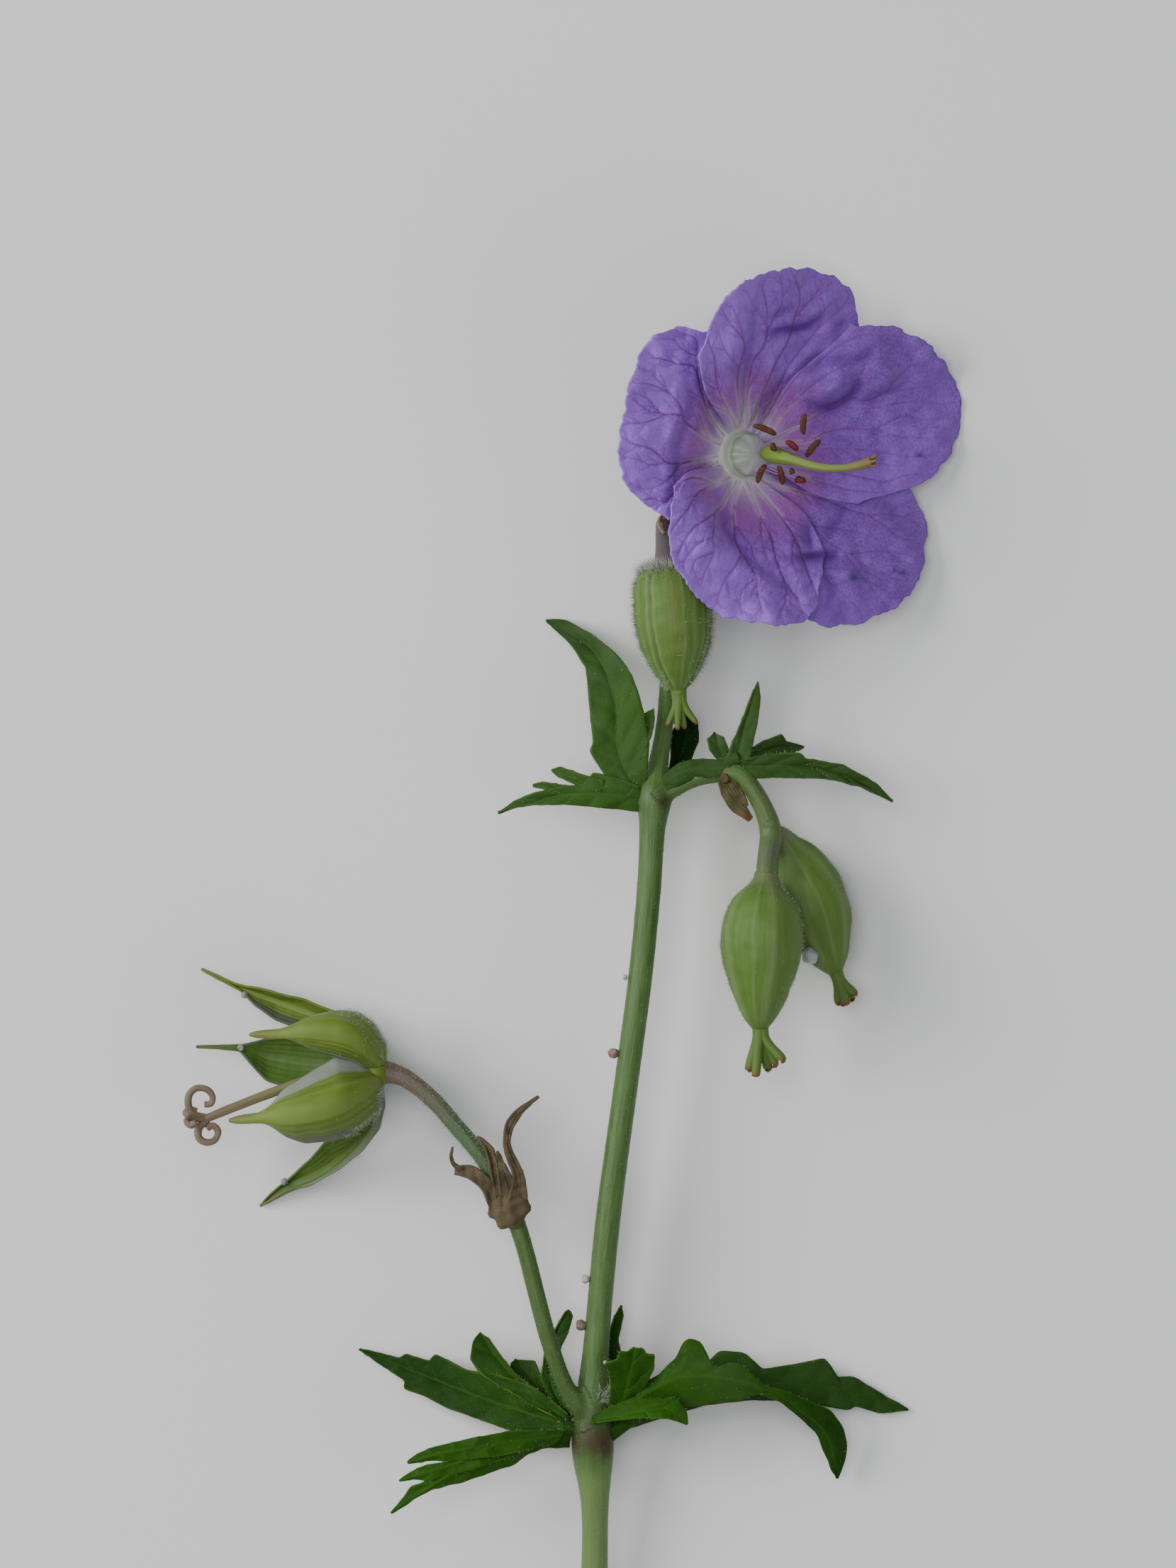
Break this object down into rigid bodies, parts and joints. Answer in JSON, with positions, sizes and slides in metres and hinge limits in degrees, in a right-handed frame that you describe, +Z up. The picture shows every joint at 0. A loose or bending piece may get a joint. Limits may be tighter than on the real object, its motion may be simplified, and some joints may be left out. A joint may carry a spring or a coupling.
{
  "type": "hardy geranium flowering stem",
  "caption": "Cut flowering stem of a violet-blue hardy geranium, with an open flower, nodding buds, a fading flower and cut leaves, lying on a surface.",
  "frame": {"origin": "middle of the plant's box in X and Y, on the surface that it lies on", "axes": "+Y from the cut end of the stem towards the flower, +X to the right of the stem seen from above, +Z up from the surface"},
  "size_m": [0.088, 0.1708, 0.0217],
  "materials": {
    "stem": "satin",
    "hairy_stalk": "matte",
    "leaf": "satin",
    "petal": "matte",
    "calyx": "matte",
    "stamen": "matte",
    "style": "satin",
    "dry_bract": "matte"
  },
  "bodies": {
    "root": {"stem": "stem", "fading_stalk": "hairy_stalk", "leaf_lower_left": "leaf", "leaf_lower_right": "leaf", "leaf_upper_left": "leaf", "leaf_upper_rear": "leaf", "leaf_upper_right": "leaf", "bracts_left": "dry_bract", "bract_right": "dry_bract", "bract_top": "dry_bract", "petal_right": "petal", "petal_top": "petal", "petal_left": "petal", "petal_lower_left": "petal", "petal_lower_right": "petal", "open_calyx": "calyx", "stamens": "stamen", "style": "style", "bud_front": "calyx", "bud_middle": "calyx", "bud_rear": "calyx", "fading_calyx": "calyx", "fading_column": "dry_bract"}
  },
  "joints": []
}
